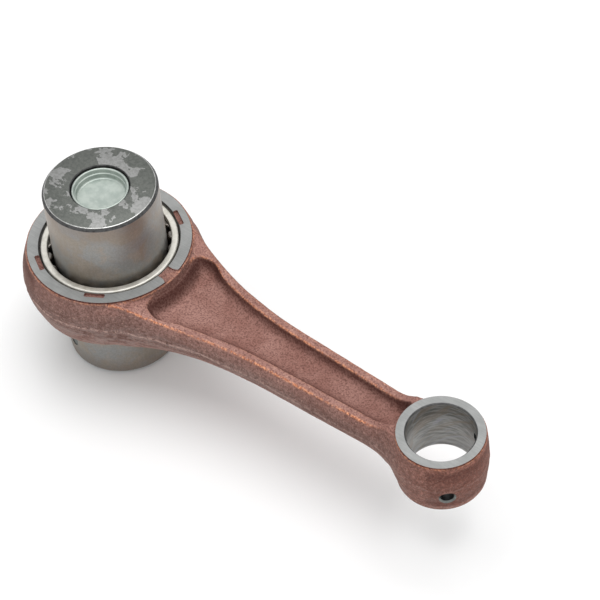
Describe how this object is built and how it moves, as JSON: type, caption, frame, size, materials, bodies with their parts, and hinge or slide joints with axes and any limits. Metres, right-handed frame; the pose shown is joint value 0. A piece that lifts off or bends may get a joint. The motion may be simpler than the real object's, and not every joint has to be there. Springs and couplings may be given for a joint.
{
  "type": "connecting rod",
  "caption": "One-piece forged I-beam connecting rod with a caged needle roller big-end bearing on a hollow crank pin and a plain-bored small end.",
  "frame": {"origin": "on the big-end and crank-pin axis, in the rod's mid-plane, midway between the two crank webs that hold the pin's ends", "axes": "+X from the big end to the small end, +Z along both bores, +Y completes the right-handed frame"},
  "size_m": [0.1667, 0.0558, 0.0666],
  "materials": {
    "copper_plated_forging": "matte copper plating, grainy",
    "plated_cage": "silver plating, satin",
    "roller_steel": "ground, polished ends",
    "crank_pin_steel": "ground, heat-tinted",
    "zinc_plated_cup": "zinc plating, satin"
  },
  "bodies": {
    "connecting_rod": {"connecting_rod": "copper_plated_forging"},
    "bearing_cage": {"needle_cage": "plated_cage"},
    "crank_pin": {"crank_pin": "crank_pin_steel", "oil_plug_upper": "zinc_plated_cup", "oil_plug_lower": "zinc_plated_cup"},
    "roller_01": {"roller_01": "roller_steel"},
    "roller_02": {"roller_02": "roller_steel"},
    "roller_03": {"roller_03": "roller_steel"},
    "roller_04": {"roller_04": "roller_steel"},
    "roller_05": {"roller_05": "roller_steel"},
    "roller_06": {"roller_06": "roller_steel"},
    "roller_07": {"roller_07": "roller_steel"},
    "roller_08": {"roller_08": "roller_steel"},
    "roller_09": {"roller_09": "roller_steel"},
    "roller_10": {"roller_10": "roller_steel"},
    "roller_11": {"roller_11": "roller_steel"},
    "roller_12": {"roller_12": "roller_steel"},
    "roller_13": {"roller_13": "roller_steel"},
    "roller_14": {"roller_14": "roller_steel"},
    "roller_15": {"roller_15": "roller_steel"},
    "roller_16": {"roller_16": "roller_steel"},
    "roller_17": {"roller_17": "roller_steel"},
    "roller_18": {"roller_18": "roller_steel"},
    "roller_19": {"roller_19": "roller_steel"},
    "roller_20": {"roller_20": "roller_steel"},
    "roller_21": {"roller_21": "roller_steel"},
    "roller_22": {"roller_22": "roller_steel"}
  },
  "joints": [
    {"name": "bearing_slide", "type": "slide", "parent": "connecting_rod", "child": "bearing_cage", "axis": [0, 0, 1], "range_m": [0, 0.05]},
    {"name": "crank_pin_spin", "type": "hinge", "parent": "bearing_cage", "child": "crank_pin", "pos_m": [0, 0, 0], "axis": [0, 0, 1], "continuous": true},
    {"name": "roller_01_spin", "type": "hinge", "parent": "bearing_cage", "child": "roller_01", "pos_m": [0.0195, 0, 0], "axis": [0, 0, 1], "continuous": true},
    {"name": "roller_02_spin", "type": "hinge", "parent": "bearing_cage", "child": "roller_02", "pos_m": [0.01871, 0.00549, 0], "axis": [0, 0, 1], "continuous": true},
    {"name": "roller_03_spin", "type": "hinge", "parent": "bearing_cage", "child": "roller_03", "pos_m": [0.0164, 0.01054, 0], "axis": [0, 0, 1], "continuous": true},
    {"name": "roller_04_spin", "type": "hinge", "parent": "bearing_cage", "child": "roller_04", "pos_m": [0.01277, 0.01474, 0], "axis": [0, 0, 1], "continuous": true},
    {"name": "roller_05_spin", "type": "hinge", "parent": "bearing_cage", "child": "roller_05", "pos_m": [0.0081, 0.01774, 0], "axis": [0, 0, 1], "continuous": true},
    {"name": "roller_06_spin", "type": "hinge", "parent": "bearing_cage", "child": "roller_06", "pos_m": [0.00278, 0.0193, 0], "axis": [0, 0, 1], "continuous": true},
    {"name": "roller_07_spin", "type": "hinge", "parent": "bearing_cage", "child": "roller_07", "pos_m": [-0.00278, 0.0193, 0], "axis": [0, 0, 1], "continuous": true},
    {"name": "roller_08_spin", "type": "hinge", "parent": "bearing_cage", "child": "roller_08", "pos_m": [-0.0081, 0.01774, 0], "axis": [0, 0, 1], "continuous": true},
    {"name": "roller_09_spin", "type": "hinge", "parent": "bearing_cage", "child": "roller_09", "pos_m": [-0.01277, 0.01474, 0], "axis": [0, 0, 1], "continuous": true},
    {"name": "roller_10_spin", "type": "hinge", "parent": "bearing_cage", "child": "roller_10", "pos_m": [-0.0164, 0.01054, 0], "axis": [0, 0, 1], "continuous": true},
    {"name": "roller_11_spin", "type": "hinge", "parent": "bearing_cage", "child": "roller_11", "pos_m": [-0.01871, 0.00549, 0], "axis": [0, 0, 1], "continuous": true},
    {"name": "roller_12_spin", "type": "hinge", "parent": "bearing_cage", "child": "roller_12", "pos_m": [-0.0195, 0, 0], "axis": [0, 0, 1], "continuous": true},
    {"name": "roller_13_spin", "type": "hinge", "parent": "bearing_cage", "child": "roller_13", "pos_m": [-0.01871, -0.00549, 0], "axis": [0, 0, 1], "continuous": true},
    {"name": "roller_14_spin", "type": "hinge", "parent": "bearing_cage", "child": "roller_14", "pos_m": [-0.0164, -0.01054, 0], "axis": [0, 0, 1], "continuous": true},
    {"name": "roller_15_spin", "type": "hinge", "parent": "bearing_cage", "child": "roller_15", "pos_m": [-0.01277, -0.01474, 0], "axis": [0, 0, 1], "continuous": true},
    {"name": "roller_16_spin", "type": "hinge", "parent": "bearing_cage", "child": "roller_16", "pos_m": [-0.0081, -0.01774, 0], "axis": [0, 0, 1], "continuous": true},
    {"name": "roller_17_spin", "type": "hinge", "parent": "bearing_cage", "child": "roller_17", "pos_m": [-0.00278, -0.0193, 0], "axis": [0, 0, 1], "continuous": true},
    {"name": "roller_18_spin", "type": "hinge", "parent": "bearing_cage", "child": "roller_18", "pos_m": [0.00278, -0.0193, 0], "axis": [0, 0, 1], "continuous": true},
    {"name": "roller_19_spin", "type": "hinge", "parent": "bearing_cage", "child": "roller_19", "pos_m": [0.0081, -0.01774, 0], "axis": [0, 0, 1], "continuous": true},
    {"name": "roller_20_spin", "type": "hinge", "parent": "bearing_cage", "child": "roller_20", "pos_m": [0.01277, -0.01474, 0], "axis": [0, 0, 1], "continuous": true},
    {"name": "roller_21_spin", "type": "hinge", "parent": "bearing_cage", "child": "roller_21", "pos_m": [0.0164, -0.01054, 0], "axis": [0, 0, 1], "continuous": true},
    {"name": "roller_22_spin", "type": "hinge", "parent": "bearing_cage", "child": "roller_22", "pos_m": [0.01871, -0.00549, 0], "axis": [0, 0, 1], "continuous": true}
  ],
  "couplings": [
    {"joint": "roller_01_spin", "follows": "crank_pin_spin", "ratio": -8.75},
    {"joint": "roller_02_spin", "follows": "crank_pin_spin", "ratio": -8.75},
    {"joint": "roller_03_spin", "follows": "crank_pin_spin", "ratio": -8.75},
    {"joint": "roller_04_spin", "follows": "crank_pin_spin", "ratio": -8.75},
    {"joint": "roller_05_spin", "follows": "crank_pin_spin", "ratio": -8.75},
    {"joint": "roller_06_spin", "follows": "crank_pin_spin", "ratio": -8.75},
    {"joint": "roller_07_spin", "follows": "crank_pin_spin", "ratio": -8.75},
    {"joint": "roller_08_spin", "follows": "crank_pin_spin", "ratio": -8.75},
    {"joint": "roller_09_spin", "follows": "crank_pin_spin", "ratio": -8.75},
    {"joint": "roller_10_spin", "follows": "crank_pin_spin", "ratio": -8.75},
    {"joint": "roller_11_spin", "follows": "crank_pin_spin", "ratio": -8.75},
    {"joint": "roller_12_spin", "follows": "crank_pin_spin", "ratio": -8.75},
    {"joint": "roller_13_spin", "follows": "crank_pin_spin", "ratio": -8.75},
    {"joint": "roller_14_spin", "follows": "crank_pin_spin", "ratio": -8.75},
    {"joint": "roller_15_spin", "follows": "crank_pin_spin", "ratio": -8.75},
    {"joint": "roller_16_spin", "follows": "crank_pin_spin", "ratio": -8.75},
    {"joint": "roller_17_spin", "follows": "crank_pin_spin", "ratio": -8.75},
    {"joint": "roller_18_spin", "follows": "crank_pin_spin", "ratio": -8.75},
    {"joint": "roller_19_spin", "follows": "crank_pin_spin", "ratio": -8.75},
    {"joint": "roller_20_spin", "follows": "crank_pin_spin", "ratio": -8.75},
    {"joint": "roller_21_spin", "follows": "crank_pin_spin", "ratio": -8.75},
    {"joint": "roller_22_spin", "follows": "crank_pin_spin", "ratio": -8.75}
  ]
}
